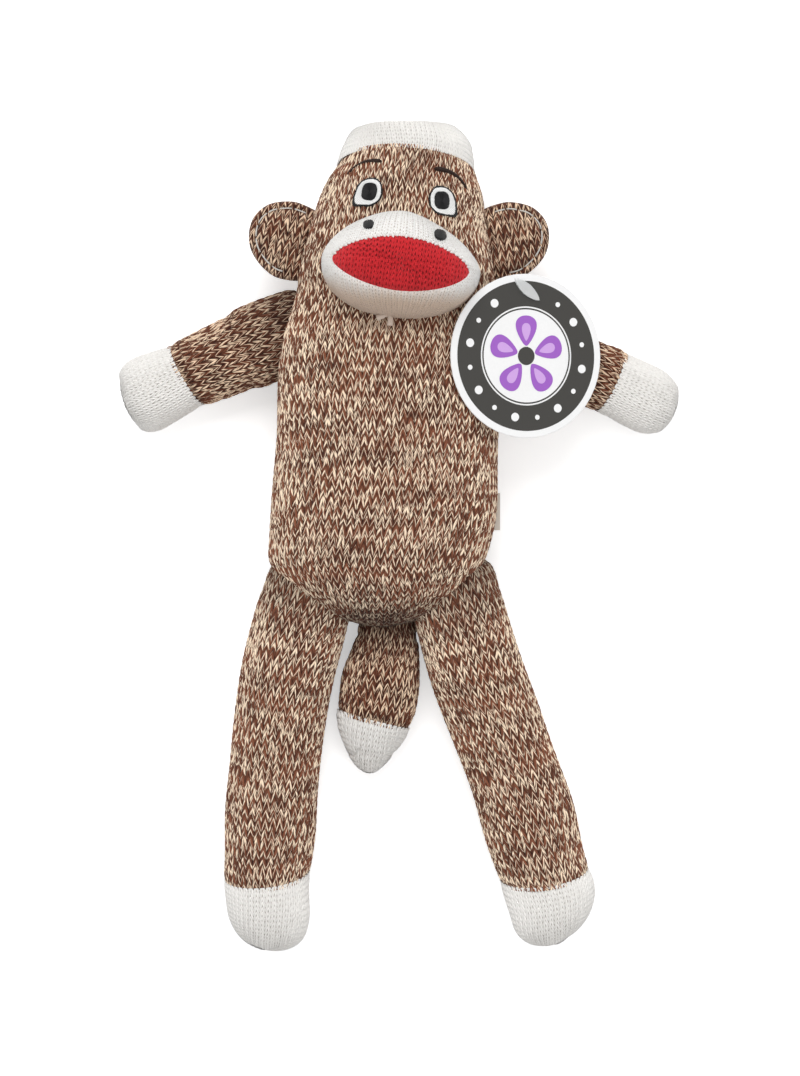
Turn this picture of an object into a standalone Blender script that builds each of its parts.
"""A stuffed sock monkey doll lying on its back, as separate sewn pieces.

Units are metres. +Z points out of the chest, +Y from the feet to the crown, and +X to the
doll's left. The origin is under the middle of the whole doll, on the table it lies on.
Each limb is turned at its root about its own joint's axis, so that it swings in its seat.
"""

import math
from collections import namedtuple

import bmesh
import bpy
import numpy as np
from mathutils import Matrix, Vector

# Clearances that many pieces share
GAP = 0.0003
SEAT_CLEARANCE = 0.0005
FLAT_DEPTH = 0.0005
OVERRUN = 0.02

# Torso
CROTCH_X = -0.0080
CROTCH_Y = -0.0350
TORSO_LENGTH = 0.1340
TORSO_HALF_WIDTH = 0.0445
TORSO_HALF_DEPTH = 0.0290

# Head, with its crown cap
NECK_SETBACK = 0.0020
HEAD_LENGTH = 0.0686
HEAD_HALF_WIDTH = 0.0400
HEAD_HALF_DEPTH = 0.0300

# Muzzle and mouth
MUZZLE_HALF_WIDTH = 0.0314
MUZZLE_HALF_HEIGHT = 0.0215
MUZZLE_DEPTH = 0.0440
MUZZLE_ABOVE_NECK = 0.0105
MOUTH_HALF_WIDTH = 0.0260
MOUTH_HALF_HEIGHT = 0.0104
MOUTH_THICKNESS = 0.0020
MOUTH_DROP = 0.0008
CHIN_CLEARANCE = 0.0010

# Embroidered eyes, brows and nostrils
STITCH_THICKNESS = 0.0009
EYE_HALF_WIDTH = 0.0056
EYE_HALF_HEIGHT = 0.0058
EYE_LINE_WIDTH = 0.0007
EYE_SPACING = 0.0296
EYES_ABOVE_NECK = 0.0374
PUPIL_HALF_WIDTH = 0.0033
PUPIL_HALF_HEIGHT = 0.0039
BROW_LENGTH = 0.0150
BROW_WIDTH = 0.0010
BROW_SPACING = 0.0340
BROWS_ABOVE_NECK = 0.0478
NOSTRIL_RADIUS = 0.0021
NOSTRIL_SPACING = 0.0284
NOSTRILS_ABOVE_NECK = 0.0233

# Ears
EAR_HEIGHT = 0.0325
EAR_REACH = 0.0215
EAR_THICKNESS = 0.0096
EAR_CROWN = 0.0008
EAR_STANDOFF = 0.0028

# Arms, from the shoulder's pivot to the fingertips
ARM_LENGTHS = {"right": 0.0570, "left": 0.0648}
ARM_HALF_WIDTH = 0.0165
ARM_HALF_DEPTH = 0.0140
SHOULDER_STANDOFF = 0.0110
SHOULDER_LIFT = 0.0060

# Legs, from the hip's pivot to the toes
LEG_LENGTHS = {"right": 0.1284, "left": 0.1324}
LEG_HALF_WIDTH = 0.0189
LEG_HALF_DEPTH = 0.0170
HIP_SPREAD = 0.0330
HIP_ASIDE = 0.0005
HIP_DROP = 0.0005
HIP_LIFT = 0.0055

# Tail, from its pivot to the tip
TAIL_LENGTH = 0.0604
TAIL_HALF_WIDTH = 0.0156
TAIL_HALF_DEPTH = 0.0140
TAIL_ASIDE = 0.0010
TAIL_RISE = 0.0010

# Hang tag on its nylon fastener
TAG_DIAMETER = 0.0650
TAG_THICKNESS = 0.0008
TAG_EDGE_BEVEL = 0.0002
TAG_HEIGHT = 0.0450
TAG_BESIDE_NECK = 0.0515
TAG_BELOW_NECK = 0.0250
TAG_HOLE_RADIUS = 0.0022
TAG_HOLE_INSET = 0.0040
FASTENER_LEAF_LENGTH = 0.0136
FASTENER_LEAF_WIDTH = 0.0045
FASTENER_THICKNESS = 0.0009
FASTENER_STEM_RADIUS = 0.0006
FASTENER_KNEE_DEPTH = 0.0024
FASTENER_SEAT_BELOW_NECK = 0.0045

# Folded label in the left side seam
LABEL_LENGTH = 0.0150
LABEL_REACH = 0.0022
LABEL_DEPTH = 0.0070
LABEL_THICKNESS = 0.0012

# Angles in degrees
ARM_DROOP = 21.5
HIP_SLANT = 16.0
FACE_TURN = -5.0
BROW_FALL = 25.0
TAG_TILT = 22.8
TAG_FASTENER_TURN = -39.0
SHARP_ANGLE = 50.0

# Shapes as shares. Each row is a station: along, side, rise, half width, half depth.
TORSO_SHARES = (
    (0.000, 0.00, 0.93, 0.00, 0.00),
    (0.022, 0.00, 0.95, 0.36, 0.38),
    (0.052, 0.00, 0.97, 0.56, 0.60),
    (0.112, -0.01, 0.98, 0.79, 0.80),
    (0.187, -0.03, 0.98, 0.95, 0.92),
    (0.261, 0.00, 0.99, 0.99, 0.98),
    (0.373, 0.04, 1.00, 1.01, 1.00),
    (0.560, 0.07, 1.00, 0.99, 1.00),
    (0.720, 0.08, 1.00, 0.99, 1.00),
    (0.858, 0.10, 0.98, 0.975, 0.97),
    (0.932, 0.12, 0.94, 0.935, 0.86),
    (0.972, 0.13, 0.94, 0.81, 0.62),
    (1.000, 0.14, 0.94, 0.00, 0.00),
)
HEAD_SHARES = (
    (0.000, 0.00, 0.90, 1.00, 0.90),
    (0.146, 0.01, 0.96, 0.965, 0.96),
    (0.320, 0.03, 1.00, 0.90, 1.00),
    (0.554, 0.06, 0.98, 0.815, 0.98),
    (0.670, 0.07, 0.96, 0.74, 0.94),
    (0.743, 0.095, 0.95, 0.685, 0.88),
    (0.816, 0.11, 0.94, 0.65, 0.83),
    (0.883, 0.115, 0.93, 0.615, 0.77),
    (0.953, 0.095, 0.93, 0.495, 0.60),
    (1.000, 0.09, 0.93, 0.00, 0.00),
)
ARM_SHARES = (
    (0.000, 0.00, 1.00, 1.00, 1.00),
    (0.140, 0.00, 1.00, 0.93, 0.98),
    (0.320, 0.01, 1.00, 0.86, 0.96),
    (0.540, 0.04, 0.96, 0.815, 0.94),
    (0.720, 0.09, 0.97, 0.87, 0.97),
    (0.850, 0.12, 0.96, 0.88, 0.96),
    (0.940, 0.13, 0.94, 0.74, 0.80),
    (0.985, 0.13, 0.92, 0.42, 0.46),
    (1.000, 0.13, 0.92, 0.00, 0.00),
)
LEG_SHARES = (
    (0.000, 0.00, 1.00, 0.98, 1.00),
    (0.154, 0.00, 1.00, 0.975, 1.00),
    (0.315, 0.00, 1.00, 0.965, 1.00),
    (0.470, 0.00, 1.00, 0.97, 1.00),
    (0.615, 0.00, 1.00, 1.00, 1.00),
    (0.760, 0.00, 0.97, 0.925, 0.97),
    (0.870, 0.00, 0.97, 0.93, 0.97),
    (0.940, 0.00, 0.92, 0.80, 0.85),
    (0.984, 0.00, 0.89, 0.46, 0.52),
    (1.000, 0.00, 0.88, 0.00, 0.00),
)
TAIL_SHARES = (
    (0.000, 0.00, 0.93, 0.90, 0.93),
    (0.150, -0.02, 0.97, 0.94, 0.97),
    (0.330, -0.05, 1.00, 0.985, 1.00),
    (0.480, -0.09, 1.00, 1.00, 1.00),
    (0.640, -0.18, 0.97, 0.96, 0.97),
    (0.800, -0.26, 0.80, 0.73, 0.78),
    (0.945, -0.33, 0.66, 0.37, 0.40),
    (1.000, -0.32, 0.64, 0.00, 0.00),
)
# How far each leg bends along the hip's axis, at the stations of its table
LEG_BEND_SHARES = {
    "right": (0.00, 0.03, 0.16, 0.35, 0.555, 0.765, 0.97, 1.08, 1.14, 1.18),
    "left": (0.00, 0.00, 0.11, 0.175, 0.21, 0.20, 0.20, 0.10, 0.03, 0.00),
}
# How much of the root's lift is left at the stations of an arm and of a leg
ARM_LIFT_SHARES = (1.00, 0.85, 0.60, 0.25, 0.05, 0.00, 0.00, 0.00, 0.00)
LEG_LIFT_SHARES = (1.00, 0.65, 0.25, 0.00, 0.00, 0.00, 0.00, 0.00, 0.00, 0.00)
# An ear's free edge: up along the root as a share of its height, out as a share of its reach
EAR_EDGE_SHARES = (
    (0.03, 0.22),
    (0.10, 0.56),
    (0.27, 0.86),
    (0.48, 0.99),
    (0.69, 0.97),
    (0.87, 0.78),
    (0.965, 0.48),
    (0.985, 0.18),
)
# An eye, from its middle: the outer lower corner is drawn out to a point
EYE_EDGE_SHARES = (
    (-1.00, -0.95),
    (-1.00, -0.20),
    (-0.72, 0.55),
    (-0.10, 0.98),
    (0.60, 0.92),
    (0.98, 0.35),
    (0.92, -0.40),
    (0.40, -0.90),
    (-0.30, -1.00),
)
MUZZLE_FOOT_SHARE = 4 / 3
PUPIL_SHIFT_SHARES = (0.08, 0.02)
BROW_ARCH_SHARE = 0.16
BROW_INNER_WIDTH_SHARE = 1.5
LABEL_LEVEL_SHARE = 0.34
LABEL_RISE_SHARE = 0.72
SHOULDER_LEVEL_SHARE = 0.836
EAR_ROOT_SHARES = (0.90, 0.63, 0.37, 0.10)
EAR_ROOT_SPAN_SHARE = 0.97
EAR_FOOT_SHARE = 0.065
EAR_RISE_SHARE = 0.93
TINY_SHARE = 0.001

# Where each colour seam crosses its limb: along as a share, turn in the table's plane and
# tilt towards the tip on the chest side, both in degrees
Seam = namedtuple("Seam", "share turn tilt")
CROWN_SEAM = Seam(share=0.745, turn=-3.3, tilt=16.0)
WRIST_SEAMS = {
    "right": Seam(share=0.530, turn=-8.5, tilt=10.5),
    "left": Seam(share=0.575, turn=-2.7, tilt=10.5),
}
ANKLE_SEAMS = {
    "right": Seam(share=0.782, turn=-21.1, tilt=14.0),
    "left": Seam(share=0.797, turn=-7.2, tilt=14.0),
}
TAIL_SEAM = Seam(share=0.660, turn=-14.6, tilt=1.0)

# Roundness of sections: 2 is an ellipse, and more is squarer
LIMB_POWER = 2.0
TORSO_POWER = 2.3
HIP_POWER = 2.6
NECK_POWER = 2.3
MUZZLE_TOP_POWER = 1.5
MUZZLE_CHIN_POWER = 2.1
MUZZLE_DOME_POWER = 2.6
MOUTH_POWER = 1.6

LEAF_POWER = 1.5

# Faces
TORSO_SIDES = 24
HEAD_SIDES = 24
LEG_SIDES = 16
ARM_SIDES = 16
TAIL_SIDES = 16
MUZZLE_SIDES = 30
MUZZLE_RINGS = 6
MOUTH_SIDES = 22
ROOT_RINGS = 4
NECK_RINGS = 6
EAR_LEVELS = 2
STATION_STEPS = 2
EDGE_STEPS = 3
ROUND_SIDES = 16
TAG_SIDES = 48
LEAF_SIDES = 16

Place = namedtuple("Place", "origin along side up")
UP = Vector((0, 0, 1))


def spline(rows, steps, first, last):
    """Points of a smooth curve through the rows, with a ghost row before and after them."""
    knots = np.vstack([first, rows, last])
    points = []
    for k in range(1, len(knots) - 2):
        before, start, end, after = knots[k - 1 : k + 3]
        for t in np.arange(steps) / steps:
            points.append(
                start
                + (end - before) * t / 2
                + (2 * before - 5 * start + 4 * end - after) * t**2 / 2
                + (3 * start - before - 3 * end + after) * t**3 / 2
            )
    points.append(knots[-2])
    return np.array(points)


def closed_spline(rows, steps):
    rows = np.array(rows, float)
    return spline(np.vstack([rows, rows[:1]]), steps, rows[-1], rows[1])[:-1]


def stations_of(shares, length, half_width, half_depth, bend=None, lift=None):
    """The rows of a table in metres. A lying form sinks by the depth of its flat."""
    rows = np.array(shares, float) * (length, half_width, half_depth, half_width, half_depth)
    rows[:, 2] -= FLAT_DEPTH
    if bend is not None:
        rows[:, 1] += np.array(bend) * half_width
    if lift is not None:
        rows[:, 2] += lift
    return rows


def turned_section(half_side, half_up, back, power, sides, about_up):
    """A cross-section, as side and up. Behind the joint's pivot by back, it is a slice of the
    root's shape, which is turned about the joint's axis: the side axis, or the up axis."""
    radius, reach = (half_side, half_up) if about_up else (half_up, half_side)
    widest = math.sqrt(max(radius**2 - back**2, 0))
    points = []
    for k in range(sides):
        angle = 2 * math.pi * k / sides
        wave, other = math.cos(angle), math.sin(angle)
        if not about_up:
            wave, other = other, wave
        swung = widest * wave
        turned = min(math.hypot(back, swung) / radius, 1)
        across = math.copysign(reach * (1 - turned**power) ** (1 / power), other)
        points.append((swung, across) if about_up else (across, swung))
    return points


def loft(place, rings, tail_pole, head_pole):
    """A closed skin over rings of points, with a point at each end."""
    mesh = bmesh.new()
    rows = [[mesh.verts.new(p) for p in ring] for ring in rings]
    for low, high in zip(rows, rows[1:]):
        for k in range(len(low)):
            after = (k + 1) % len(low)
            mesh.faces.new((low[k], low[after], high[after], high[k]))
    for row, pole in ((rows[0], tail_pole), (rows[-1], head_pole)):
        tip = mesh.verts.new(pole)
        for k in range(len(row)):
            mesh.faces.new((row[(k + 1) % len(row)], row[k], tip))
    bmesh.ops.transform(
        mesh,
        matrix=Matrix((place.side, place.along, place.up)).transposed().to_4x4(),
        verts=mesh.verts,
    )
    bmesh.ops.translate(mesh, vec=place.origin, verts=mesh.verts)
    bmesh.ops.recalc_face_normals(mesh, faces=mesh.faces)
    return mesh


def ring_at(row, section):
    along, side, rise = row[:3]
    return [(side + s, along, rise + u) for s, u in section]


def pillow_form(place, rows, power, sides):
    """A form that closes in a round end both ways, such as the torso."""
    mirrored = np.array([1, 1, 1, -1, -1])
    curve = spline(rows, STATION_STEPS, rows[1] * mirrored, rows[-2] * mirrored)[1:-1]
    rings = [
        ring_at(row, turned_section(row[3], row[4], 0, power, sides, False)) for row in curve
    ]
    poles = [(row[1], row[0], row[2]) for row in (rows[0], rows[-1])]
    return loft(place, rings, poles[0], poles[1])


def rooted_form(place, rows, powers, sides, about_up, root_rings=ROOT_RINGS):
    """A limb: a root turned about its joint's axis, then a form that closes in a round end."""
    mirrored = np.array([1, 1, 1, -1, -1])
    start = rows[0]
    radius = start[3] if about_up else start[4]
    behind = start - (rows[1] - start) * (1, 0, 0, 0, 0)
    curve = spline(rows, STATION_STEPS, behind, rows[-2] * mirrored)[:-1]
    rings = []
    for k in range(root_rings, 0, -1):
        back = radius * math.sin(k / (root_rings + 1) * math.pi / 2)
        section = turned_section(start[3], start[4], back, powers[0], sides, about_up)
        rings.append([(start[1] + s, -back, start[2] + u) for s, u in section])
    for row in curve:
        share = min(row[0] / rows[2][0], 1)
        power = powers[0] + (powers[1] - powers[0]) * share
        section = turned_section(row[3], row[4], 0, power, sides, about_up)
        rings.append(ring_at(row, section))
    root_pole = (start[1], -radius, start[2])
    tip = rows[-1]
    return loft(place, rings, root_pole, (tip[1], tip[0], tip[2]))


def root_form(place, start, power, sides, about_up, root_rings=ROOT_RINGS):
    """The seat for a root: the whole body of revolution, a clearance larger."""
    radius = start[3] if about_up else start[4]
    rings = []
    for k in range(root_rings, -root_rings - 1, -1):
        back = radius * math.sin(k / (root_rings + 1) * math.pi / 2)
        section = turned_section(start[3], start[4], abs(back), power, sides, about_up)
        rings.append([(start[1] + s, -back, start[2] + u) for s, u in section])
    poles = [(start[1], y, start[2]) for y in (-radius, radius)]
    return fattened(loft(place, rings, poles[0], poles[1]), SEAT_CLEARANCE)


def fattened(mesh, amount):
    """The same form with its skin moved out by an amount, or in by a negative one."""
    mesh.normal_update()
    for vertex in mesh.verts:
        vertex.co += vertex.normal * amount
    return mesh


def swept(mesh, direction, distance):
    """The space that a round form takes as it moves straight along a direction."""
    moved = mesh.copy()
    bmesh.ops.translate(moved, vec=direction * distance, verts=moved.verts)
    points = [v.co.copy() for v in mesh.verts] + [v.co.copy() for v in moved.verts]
    mesh.free()
    moved.free()
    hull = bmesh.new()
    for point in points:
        hull.verts.new(point)
    made = bmesh.ops.convex_hull(hull, input=hull.verts)
    inside = [g for g in made["geom_interior"] if isinstance(g, bmesh.types.BMVert)]
    bmesh.ops.delete(hull, geom=inside, context="VERTS")
    bmesh.ops.recalc_face_normals(hull, faces=hull.faces)
    return hull


def trimmed(mesh, point, normal):
    """What lies behind a plane, closed where the plane cuts it."""
    cut = bmesh.ops.bisect_plane(
        mesh,
        geom=mesh.verts[:] + mesh.edges[:] + mesh.faces[:],
        dist=GAP * TINY_SHARE,
        plane_co=point,
        plane_no=normal,
        clear_outer=True,
    )
    rim = [g for g in cut["geom_cut"] if isinstance(g, bmesh.types.BMEdge)]
    bmesh.ops.holes_fill(mesh, edges=rim, sides=0)
    bmesh.ops.recalc_face_normals(mesh, faces=mesh.faces)
    return mesh


def laid_flat(mesh):
    """The form with the flat it rests on."""
    return trimmed(mesh, (0, 0, 0), -UP)


def parted(mesh, place, rows, seam, turn_sign):
    """The two pieces of a form on both sides of its colour seam, a gap apart."""
    along = seam.share * rows[-1][0]
    middle = [np.interp(along, rows[:, 0], rows[:, k]) for k in (1, 2)]
    point = place.origin + place.along * along + place.side * middle[0] + place.up * middle[1]
    turn = Matrix.Rotation(math.radians(seam.turn * turn_sign), 3, place.up)
    ahead = (turn @ place.along).normalized()
    normal = (ahead - place.up * math.tan(math.radians(seam.tilt))).normalized()
    tip = mesh.copy()
    near = trimmed(mesh, point - normal * (GAP / 2), normal)
    far = trimmed(tip, point + normal * (GAP / 2), -normal)
    return near, far


def prism(points, low, high):
    """An outline in the table's plane, drawn out from one height to another."""
    mesh = bmesh.new()
    base = mesh.faces.new([mesh.verts.new((x, y, low)) for x, y in points])
    top = bmesh.ops.extrude_face_region(mesh, geom=[base])
    raised = [g for g in top["geom"] if isinstance(g, bmesh.types.BMVert)]
    bmesh.ops.translate(mesh, vec=UP * (high - low), verts=raised)
    bmesh.ops.recalc_face_normals(mesh, faces=mesh.faces)
    return mesh


def turned_outline(points, angle, middle):
    """An outline given about zero, turned by degrees and moved to its middle."""
    turn = math.radians(angle)
    return [
        (
            middle[0] + x * math.cos(turn) - y * math.sin(turn),
            middle[1] + x * math.sin(turn) + y * math.cos(turn),
        )
        for x, y in points
    ]


def lens(half_width, half_height, power, sides):
    """An outline with blunt corners left and right."""
    points = []
    for k in range(sides):
        angle = 2 * math.pi * k / sides
        x, y = math.cos(angle), math.sin(angle)
        scale = (abs(x) ** power + abs(y) ** power) ** (-1 / power)
        points.append((half_width * x * scale, half_height * y * scale))
    return points


def object_of(name, mesh):
    data = bpy.data.meshes.new(name)
    mesh.to_mesh(data)
    mesh.free()
    made = bpy.data.objects.new(name, data)
    bpy.context.scene.collection.objects.link(made)
    return made


def piece(name, mesh, material, joint=None):
    """A named piece of the doll with its own material, on its joint's empty if it moves."""
    made = object_of(name, mesh)
    made.data.shade_smooth()
    made.data.set_sharp_from_angle(angle=math.radians(SHARP_ANGLE))
    made.data.materials.append(finish(name, *material))
    if joint is not None:
        made.parent = joint
        made.matrix_parent_inverse = joint.matrix_world.inverted()
    return made


def cutter(name, mesh):
    made = object_of(name, mesh)
    made.hide_render = True
    made.display_type = "WIRE"
    return made


def boolean(target, tool, operation="DIFFERENCE"):
    modifier = target.modifiers.new(f"{operation.lower()} {tool.name}", "BOOLEAN")
    modifier.object = tool
    modifier.operation = operation
    modifier.solver = "EXACT"


def pivot(name, point, parent=None):
    """An empty on a joint's axis, for the pieces that turn about it."""
    empty = bpy.data.objects.new(name, None)
    empty.location = point
    bpy.context.scene.collection.objects.link(empty)
    bpy.context.view_layer.update()
    if parent is not None:
        empty.parent = parent
        empty.matrix_parent_inverse = parent.matrix_world.inverted()
    return empty


def finish(name, colour, roughness):
    material = bpy.data.materials.new(name)
    material.use_nodes = True
    shader = material.node_tree.nodes["Principled BSDF"]
    shader.inputs["Base Color"].default_value = (*colour, 1)
    shader.inputs["Roughness"].default_value = roughness
    shader.inputs["Metallic"].default_value = 0
    return material


KNIT_ROUGHNESS = 0.95
THREAD_ROUGHNESS = 0.65
CARD_ROUGHNESS = 0.6
NYLON_ROUGHNESS = 0.25
BROWN_KNIT = ((0.25, 0.15, 0.10), KNIT_ROUGHNESS)
WHITE_KNIT = ((0.80, 0.79, 0.76), KNIT_ROUGHNESS)
RED_KNIT = ((0.62, 0.03, 0.04), KNIT_ROUGHNESS)
PALE_TAPE = ((0.78, 0.74, 0.68), KNIT_ROUGHNESS)
BLACK_THREAD = ((0.015, 0.014, 0.014), THREAD_ROUGHNESS)
BROWN_THREAD = ((0.035, 0.02, 0.015), THREAD_ROUGHNESS)
WHITE_THREAD = ((0.85, 0.85, 0.84), THREAD_ROUGHNESS)
PRINTED_CARD = ((0.08, 0.08, 0.09), CARD_ROUGHNESS)
CLEAR_NYLON = ((0.75, 0.76, 0.76), NYLON_ROUGHNESS)


def station_at(rows, along):
    return np.array([np.interp(along, rows[:, 0], rows[:, k]) for k in range(rows.shape[1])])


def side_of(rows, along, sign):
    """How far out a form's side is, along its table."""
    row = station_at(rows, along)
    return row[1] + sign * row[3]


# The whole doll's places, worked out from the sizes above
SIGNS = {"right": -1, "left": 1}
TORSO = Place(Vector((CROTCH_X, CROTCH_Y, 0)), Vector((0, 1, 0)), Vector((1, 0, 0)), UP)
TORSO_ROWS = stations_of(TORSO_SHARES, TORSO_LENGTH, TORSO_HALF_WIDTH, TORSO_HALF_DEPTH)
NECK_ALONG = TORSO_LENGTH - NECK_SETBACK
NECK_X = CROTCH_X + TORSO_ROWS[-1][1]
NECK_Y = CROTCH_Y + NECK_ALONG
HEAD = Place(Vector((NECK_X, NECK_Y, 0)), Vector((0, 1, 0)), Vector((1, 0, 0)), UP)
HEAD_ROWS = stations_of(HEAD_SHARES, HEAD_LENGTH, HEAD_HALF_WIDTH, HEAD_HALF_DEPTH)
FACE_X = NECK_X + HEAD_ROWS[3][1]
MUZZLE_FOOT = MUZZLE_FOOT_SHARE * HEAD_HALF_DEPTH
BODY_TOP = MUZZLE_FOOT + MUZZLE_DEPTH + OVERRUN


def torso_form():
    return pillow_form(TORSO, TORSO_ROWS, TORSO_POWER, TORSO_SIDES)


def head_form():
    powers = (NECK_POWER, LIMB_POWER)
    return rooted_form(HEAD, HEAD_ROWS, powers, HEAD_SIDES, False, NECK_RINGS)


def arm_place(side):
    """The shoulder stands off the torso's side, and the arm droops from it."""
    sign = SIGNS[side]
    level = SHOULDER_LEVEL_SHARE * TORSO_LENGTH
    out = side_of(TORSO_ROWS, level, sign) + sign * SHOULDER_STANDOFF
    droop = math.radians(ARM_DROOP)
    along = Vector((sign * math.cos(droop), -math.sin(droop), 0))
    across = Vector((-sign * math.sin(droop), -math.cos(droop), 0))
    return Place(Vector((CROTCH_X + out, CROTCH_Y + level, 0)), along, across, UP)


def arm_rows(side):
    lift = np.array(ARM_LIFT_SHARES) * SHOULDER_LIFT
    return stations_of(ARM_SHARES, ARM_LENGTHS[side], ARM_HALF_WIDTH, ARM_HALF_DEPTH, lift=lift)


def leg_place(side):
    """A hip hangs below the torso, and its axis slants down to the crotch."""
    sign = SIGNS[side]
    slant = math.radians(HIP_SLANT) * sign
    across = Vector((math.cos(slant), math.sin(slant), 0))
    along = Vector((math.sin(slant), -math.cos(slant), 0))
    hip = Vector((CROTCH_X + sign * HIP_SPREAD + HIP_ASIDE, CROTCH_Y - HIP_DROP, 0))
    return Place(hip, along, across, UP)


def leg_rows(side):
    lift = np.array(LEG_LIFT_SHARES) * HIP_LIFT
    length = LEG_LENGTHS[side]
    bend = LEG_BEND_SHARES[side]
    return stations_of(LEG_SHARES, length, LEG_HALF_WIDTH, LEG_HALF_DEPTH, bend, lift)


def tail_place():
    start = Vector((CROTCH_X + TAIL_ASIDE, CROTCH_Y + TAIL_RISE, 0))
    return Place(start, Vector((0, -1, 0)), Vector((1, 0, 0)), UP)


TAIL_ROWS = stations_of(TAIL_SHARES, TAIL_LENGTH, TAIL_HALF_WIDTH, TAIL_HALF_DEPTH)


def make_torso():
    """One stuffed tube, with a seat for the neck, each shoulder, each hip and the tail."""
    torso = piece("torso", laid_flat(torso_form()), BROWN_KNIT)
    neck = root_form(HEAD, HEAD_ROWS[0], NECK_POWER, HEAD_SIDES, False, NECK_RINGS)
    boolean(torso, cutter("neck_seat", neck))
    for side in SIGNS:
        arm = root_form(arm_place(side), arm_rows(side)[0], LIMB_POWER, ARM_SIDES, True)
        boolean(torso, cutter(f"{side}_shoulder_seat", arm))
        leg = root_form(leg_place(side), leg_rows(side)[0], HIP_POWER, LEG_SIDES, False)
        # The seat is open to the front, where the leg folds up
        boolean(torso, cutter(f"{side}_hip_seat", swept(leg, UP, TORSO_HALF_DEPTH)))
    tail = root_form(tail_place(), TAIL_ROWS[0], LIMB_POWER, TAIL_SIDES, False)
    # And open to the back, where the tail swings out
    boolean(torso, cutter("tail_seat", swept(tail, -UP, TORSO_HALF_DEPTH)))


def make_limb(name, tip_name, place, rows, seam, powers, sides, about_up, turn_sign):
    whole = laid_flat(rooted_form(place, rows, powers, sides, about_up))
    centre = place.origin + place.up * rows[0][2]
    joint = pivot(f"{name}_joint", centre)
    near, far = parted(whole, place, rows, seam, turn_sign)
    piece(name, near, BROWN_KNIT, joint)
    piece(tip_name, far, WHITE_KNIT, joint)


def make_arms():
    for side, sign in SIGNS.items():
        make_limb(
            f"{side}_arm",
            f"{side}_hand",
            arm_place(side),
            arm_rows(side),
            WRIST_SEAMS[side],
            (LIMB_POWER, LIMB_POWER),
            ARM_SIDES,
            True,
            sign,
        )


def make_legs():
    for side, sign in SIGNS.items():
        make_limb(
            f"{side}_leg",
            f"{side}_foot",
            leg_place(side),
            leg_rows(side),
            ANKLE_SEAMS[side],
            (HIP_POWER, LIMB_POWER),
            LEG_SIDES,
            False,
            sign,
        )


def make_tail():
    make_limb(
        "tail",
        "tail_tip",
        tail_place(),
        TAIL_ROWS,
        TAIL_SEAM,
        (LIMB_POWER, LIMB_POWER),
        TAIL_SIDES,
        False,
        1,
    )


def make_head():
    """The head with its crown cap above a tilted seam. It returns the neck's empty."""
    neck = pivot("head_joint", HEAD.origin + UP * HEAD_ROWS[0][2])
    whole = laid_flat(head_form())
    near, far = parted(whole, HEAD, HEAD_ROWS, CROWN_SEAM, 1)
    head = piece("head", near, BROWN_KNIT, neck)
    piece("crown_cap", far, WHITE_KNIT, neck)
    return head, neck


def muzzle_middle():
    return Vector((FACE_X - GAP, NECK_Y + MUZZLE_ABOVE_NECK, MUZZLE_FOOT))


def muzzle_form(grow=0):
    """A dome over a wide outline that is humped at the nose and full at the chin."""
    top = lens(MUZZLE_HALF_WIDTH, MUZZLE_HALF_HEIGHT, MUZZLE_TOP_POWER, MUZZLE_SIDES)
    chin = lens(MUZZLE_HALF_WIDTH, MUZZLE_HALF_HEIGHT, MUZZLE_CHIN_POWER, MUZZLE_SIDES)
    outline = [t if t[1] > 0 else c for t, c in zip(top, chin)]
    outline = turned_outline(outline, FACE_TURN, (0, 0))
    mesh = bmesh.new()
    rows = []
    for k in range(MUZZLE_RINGS):
        share = math.cos(k / MUZZLE_RINGS * math.pi / 2)
        height = MUZZLE_DEPTH * (1 - share**MUZZLE_DOME_POWER) ** (1 / MUZZLE_DOME_POWER)
        rows.append([mesh.verts.new((x * share, y * share, height)) for x, y in outline])
    for low, high in zip(rows, rows[1:]):
        for k in range(MUZZLE_SIDES):
            after = (k + 1) % MUZZLE_SIDES
            mesh.faces.new((low[k], low[after], high[after], high[k]))
    mesh.faces.new(list(reversed(rows[0])))
    tip = mesh.verts.new((0, 0, MUZZLE_DEPTH))
    for k in range(MUZZLE_SIDES):
        mesh.faces.new((rows[-1][k], rows[-1][(k + 1) % MUZZLE_SIDES], tip))
    bmesh.ops.translate(mesh, vec=muzzle_middle(), verts=mesh.verts)
    bmesh.ops.recalc_face_normals(mesh, faces=mesh.faces)
    return fattened(mesh, grow)


def mouth_prism(grow):
    middle = muzzle_middle() - Vector((0, MOUTH_DROP, 0))
    outline = lens(MOUTH_HALF_WIDTH + grow, MOUTH_HALF_HEIGHT + grow, MOUTH_POWER, MOUTH_SIDES)
    half_way = MUZZLE_FOOT + MUZZLE_DEPTH / 2
    return prism(turned_outline(outline, FACE_TURN, middle), half_way, BODY_TOP)


def make_muzzle(neck):
    """The muzzle sits over the head and chest, with the mouth patch let into its front."""
    muzzle = piece("muzzle", muzzle_form(), WHITE_KNIT, neck)
    boolean(muzzle, cutter("head_under_muzzle", fattened(head_form(), GAP)))
    boolean(muzzle, cutter("chest_under_muzzle", fattened(torso_form(), CHIN_CLEARANCE)))
    pocket = cutter("mouth_pocket", mouth_prism(GAP))
    boolean(pocket, cutter("mouth_floor", muzzle_form(-MOUTH_THICKNESS - GAP)))
    boolean(muzzle, pocket)
    patch = piece("mouth_patch", mouth_prism(0), RED_KNIT, neck)
    boolean(patch, cutter("mouth_front", muzzle_form()), "INTERSECT")
    boolean(patch, cutter("mouth_back", muzzle_form(-MOUTH_THICKNESS)))


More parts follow.
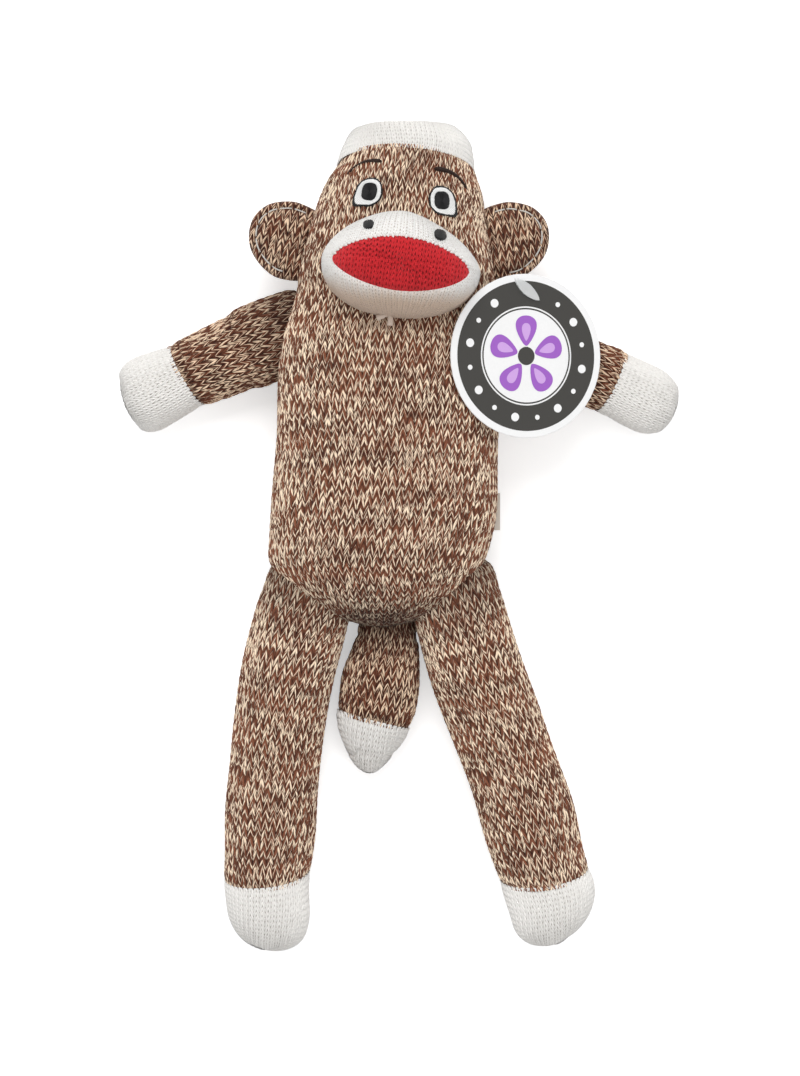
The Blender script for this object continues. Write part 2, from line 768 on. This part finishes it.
def embroidered(name, outline, hole, shell, material, neck):
    """Raised stitches over a form, inside an outline and outside its hole."""
    under, over, low = shell
    patch = piece(name, prism(outline, low, BODY_TOP), material, neck)
    boolean(patch, over, "INTERSECT")
    boolean(patch, under)
    if hole:
        boolean(patch, cutter(f"{name}_hole", prism(hole, low, BODY_TOP)))


def eye_outline(sign, grow):
    half_width, half_height = EYE_HALF_WIDTH + grow, EYE_HALF_HEIGHT + grow
    edge = [(x * -sign * half_width, y * half_height) for x, y in EYE_EDGE_SHARES]
    return [tuple(p) for p in closed_spline(edge, EDGE_STEPS)][::sign]


def brow_outline(sign):
    """A thin arch, thicker at its inner end."""
    upper, lower = [], []
    for k in range(EDGE_STEPS * 2 + 1):
        share = k / (EDGE_STEPS * 2)
        x = (share - 1 / 2) * BROW_LENGTH
        y = (1 / 4 - (share - 1 / 2) ** 2) * 4 * BROW_ARCH_SHARE * BROW_LENGTH
        half = BROW_WIDTH / 2 * (BROW_INNER_WIDTH_SHARE + (1 - BROW_INNER_WIDTH_SHARE) * share)
        upper.append((sign * x, y + half))
        lower.append((sign * x, y - half))
    return upper + lower[::-1]


def make_face(neck):
    under = cutter("under_stitches", fattened(head_form(), GAP))
    over = cutter("over_stitches", fattened(head_form(), GAP + STITCH_THICKNESS))
    shell = (under, over, HEAD_ROWS[3][2])
    for side, sign in SIGNS.items():
        lean = math.radians(FACE_TURN)
        middle = Vector((FACE_X, NECK_Y, 0))
        for_eye = Vector((sign * EYE_SPACING / 2, EYES_ABOVE_NECK + sign * EYE_SPACING / 2 * lean))
        eye = middle.xy + for_eye
        pupil = eye + Vector(
            (
                -sign * PUPIL_SHIFT_SHARES[0] * EYE_HALF_WIDTH,
                PUPIL_SHIFT_SHARES[1] * EYE_HALF_HEIGHT,
            )
        )
        line = turned_outline(eye_outline(sign, 0), FACE_TURN, eye)
        white = turned_outline(eye_outline(sign, -EYE_LINE_WIDTH), FACE_TURN, eye)
        white_hole = turned_outline(eye_outline(sign, GAP - EYE_LINE_WIDTH), FACE_TURN, eye)
        black = lens(PUPIL_HALF_WIDTH, PUPIL_HALF_HEIGHT, LIMB_POWER, ROUND_SIDES)
        black_hole = lens(
            PUPIL_HALF_WIDTH + GAP, PUPIL_HALF_HEIGHT + GAP, LIMB_POWER, ROUND_SIDES
        )
        black = turned_outline(black, FACE_TURN, pupil)
        black_hole = turned_outline(black_hole, FACE_TURN, pupil)
        embroidered(f"{side}_eye_outline", line, white_hole, shell, BLACK_THREAD, neck)
        embroidered(f"{side}_eye_white", white, black_hole, shell, WHITE_THREAD, neck)
        embroidered(f"{side}_pupil", black, None, shell, BLACK_THREAD, neck)
        brow = middle.xy + Vector(
            (sign * BROW_SPACING / 2, BROWS_ABOVE_NECK + sign * BROW_SPACING / 2 * lean)
        )
        fall = FACE_TURN - sign * BROW_FALL
        arch = turned_outline(brow_outline(sign), fall, brow)
        embroidered(f"{side}_eyebrow", arch, None, shell, BROWN_THREAD, neck)
    make_nostrils(neck)


def make_nostrils(neck):
    under = cutter("under_nostrils", muzzle_form(GAP))
    over = cutter("over_nostrils", muzzle_form(GAP + STITCH_THICKNESS))
    shell = (under, over, MUZZLE_FOOT)
    for side, sign in SIGNS.items():
        lean = math.radians(FACE_TURN)
        x = sign * NOSTRIL_SPACING / 2
        middle = (FACE_X + x, NECK_Y + NOSTRILS_ABOVE_NECK + x * lean)
        spot = lens(NOSTRIL_RADIUS, NOSTRIL_RADIUS, LIMB_POWER, ROUND_SIDES)
        outline = turned_outline(spot, 0, middle)
        embroidered(f"{side}_nostril", outline, None, shell, BLACK_THREAD, neck)


def ear_place(side):
    """An ear's root runs up the side of the head, just off it."""
    sign = SIGNS[side]
    low_along = EAR_FOOT_SHARE * HEAD_LENGTH
    high_along = low_along + EAR_HEIGHT * EAR_ROOT_SPAN_SHARE
    ends = []
    for along in (low_along, high_along):
        out = side_of(HEAD_ROWS, along, sign) + sign * EAR_STANDOFF
        ends.append(HEAD.origin + Vector((out, along, EAR_RISE_SHARE * HEAD_HALF_DEPTH)))
    up_root = (ends[1] - ends[0]).normalized()
    out = Vector((up_root.y, -up_root.x, 0)) * sign
    return Place(ends[0], up_root, out, UP)


def ear_form(side):
    """A padded lobe whose root edge is rounded about the ear's axis."""
    radius = EAR_THICKNESS / 2
    free = [(up * EAR_HEIGHT, out * EAR_REACH) for up, out in EAR_EDGE_SHARES]
    root = [(up * EAR_HEIGHT, -radius) for up in EAR_ROOT_SHARES]
    edge = closed_spline(free + root, EDGE_STEPS)
    low, high = EAR_ROOT_SHARES[-1] * EAR_HEIGHT, EAR_ROOT_SHARES[0] * EAR_HEIGHT
    on_root = (edge[:, 1] < 0) & (edge[:, 0] > low) & (edge[:, 0] < high)
    edge[on_root, 1] = -radius
    ahead = np.roll(edge, -1, axis=0) - np.roll(edge, 1, axis=0)
    ahead /= np.linalg.norm(ahead, axis=1)[:, None]
    inward = np.stack([ahead[:, 1], -ahead[:, 0]], axis=1)
    inward *= np.sign(((edge.mean(axis=0) - edge) * inward).sum(axis=1))[:, None]
    levels = []
    for k in range(-EAR_LEVELS, EAR_LEVELS + 1):
        angle = k / EAR_LEVELS * math.pi / 2
        inset = edge + inward * radius * (1 - math.cos(angle))
        levels.append([(out, up, radius * math.sin(angle)) for up, out in inset])
    middle = edge.mean(axis=0)
    poles = [(middle[1], middle[0], z) for z in (-radius - EAR_CROWN, radius + EAR_CROWN)]
    return loft(ear_place(side), levels, poles[0], poles[1])


def make_ears(head, neck):
    for side in SIGNS:
        place = ear_place(side)
        joint = pivot(f"{side}_ear_joint", place.origin, neck)
        piece(f"{side}_ear", ear_form(side), BROWN_KNIT, joint)
        seat = bmesh.new()
        radius = EAR_THICKNESS / 2 + SEAT_CLEARANCE
        bmesh.ops.create_cone(
            seat,
            cap_ends=True,
            segments=ROUND_SIDES,
            radius1=radius,
            radius2=radius,
            depth=EAR_HEIGHT + EAR_THICKNESS,
        )
        middle = place.origin + place.along * (EAR_HEIGHT / 2)
        turn = UP.rotation_difference(place.along).to_matrix().to_4x4()
        bmesh.ops.transform(seat, matrix=Matrix.Translation(middle) @ turn, verts=seat.verts)
        boolean(head, cutter(f"{side}_ear_seat", seat))


def tag_matrix():
    """The card's own frame: flat in X and Y, with its hole towards +Y."""
    middle = Vector((NECK_X + TAG_BESIDE_NECK, NECK_Y - TAG_BELOW_NECK, TAG_HEIGHT))
    return Matrix.Translation(middle) @ Matrix.Rotation(math.radians(TAG_TILT), 4, "Y")


def disc(radius, low, high, sides, middle):
    outline = lens(radius, radius, LIMB_POWER, sides)
    return prism(turned_outline(outline, 0, middle), low, high)


def rod(start, end, radius):
    """A round rod between two points."""
    made = bmesh.new()
    bmesh.ops.create_cone(
        made,
        cap_ends=True,
        segments=ROUND_SIDES // 2,
        radius1=radius,
        radius2=radius,
        depth=(end - start).length,
    )
    turn = UP.rotation_difference(end - start).to_matrix().to_4x4()
    middle = Matrix.Translation((start + end) / 2)
    bmesh.ops.transform(made, matrix=middle @ turn, verts=made.verts)
    return made


def make_tag():
    """A round card over the left shoulder, and the nylon loop that holds it there."""
    matrix = tag_matrix()
    hole = (0, TAG_DIAMETER / 2 - TAG_HOLE_INSET - TAG_HOLE_RADIUS)
    half = TAG_THICKNESS / 2
    knee = matrix @ Vector((*hole, -half - FASTENER_KNEE_DEPTH))
    joint = pivot("hang_tag_joint", knee)
    card = disc(TAG_DIAMETER / 2, -half, half, TAG_SIDES, (0, 0))
    rims = [e for e in card.edges if abs(e.verts[0].co.z - e.verts[1].co.z) < GAP]
    bmesh.ops.bevel(card, geom=rims, offset=TAG_EDGE_BEVEL, segments=1, affect="EDGES")
    bmesh.ops.transform(card, matrix=matrix, verts=card.verts)
    tag = piece("hang_tag", card, PRINTED_CARD, joint)
    opening = disc(TAG_HOLE_RADIUS, -OVERRUN, OVERRUN, ROUND_SIDES, hole)
    bmesh.ops.transform(opening, matrix=matrix, verts=opening.verts)
    boolean(tag, cutter("tag_hole", opening))
    make_fastener(matrix, hole, knee, joint)


def make_fastener(matrix, hole, knee, joint):
    """A flat leaf over the card with a neck through its hole. The nylon bends below the hole,
    where the neck meets the stem that comes up from the shoulder's seam."""
    low = TAG_THICKNESS / 2 + GAP
    high = low + FASTENER_THICKNESS
    leaf = lens(FASTENER_LEAF_LENGTH / 2, FASTENER_LEAF_WIDTH / 2, LEAF_POWER, LEAF_SIDES)
    leaf = prism(turned_outline(leaf, TAG_FASTENER_TURN, hole), low, high)
    bmesh.ops.transform(leaf, matrix=matrix, verts=leaf.verts)
    fastener = piece("tag_fastener", leaf, CLEAR_NYLON, joint)
    top = matrix @ Vector((*hole, (low + high) / 2))
    neck = cutter("fastener_neck", rod(top, knee, FASTENER_STEM_RADIUS))
    boolean(fastener, neck, "UNION")
    across = NECK_X + side_of(HEAD_ROWS, 0, 1)
    seat = Vector((across, NECK_Y - FASTENER_SEAT_BELOW_NECK, HEAD_ROWS[0][2]))
    away = (seat - knee).normalized()
    start = knee + away * (FASTENER_STEM_RADIUS + GAP)
    stem = piece("fastener_stem", rod(start, seat, FASTENER_STEM_RADIUS), CLEAR_NYLON)
    boolean(stem, cutter("torso_under_stem", fattened(torso_form(), GAP)))


def make_label():
    """The edge of a folded tape that is sewn into the side seam."""
    along = LABEL_LEVEL_SHARE * TORSO_LENGTH
    side = CROTCH_X + side_of(TORSO_ROWS, along, 1)
    rise = LABEL_RISE_SHARE * TORSO_HALF_DEPTH
    tape = bmesh.new()
    bmesh.ops.create_cube(tape, size=1)
    size = (LABEL_REACH + LABEL_DEPTH, LABEL_LENGTH, LABEL_THICKNESS)
    bmesh.ops.scale(tape, vec=size, verts=tape.verts)
    middle = (side + (LABEL_REACH - LABEL_DEPTH) / 2, CROTCH_Y + along, rise)
    bmesh.ops.translate(tape, vec=middle, verts=tape.verts)
    label = piece("side_label", tape, PALE_TAPE)
    boolean(label, cutter("torso_beside_label", fattened(torso_form(), GAP)))


def main():
    for old in list(bpy.data.objects):
        bpy.data.objects.remove(old)
    make_torso()
    head, neck = make_head()
    make_muzzle(neck)
    make_face(neck)
    make_ears(head, neck)
    make_arms()
    make_legs()
    make_tail()
    make_tag()
    make_label()


main()
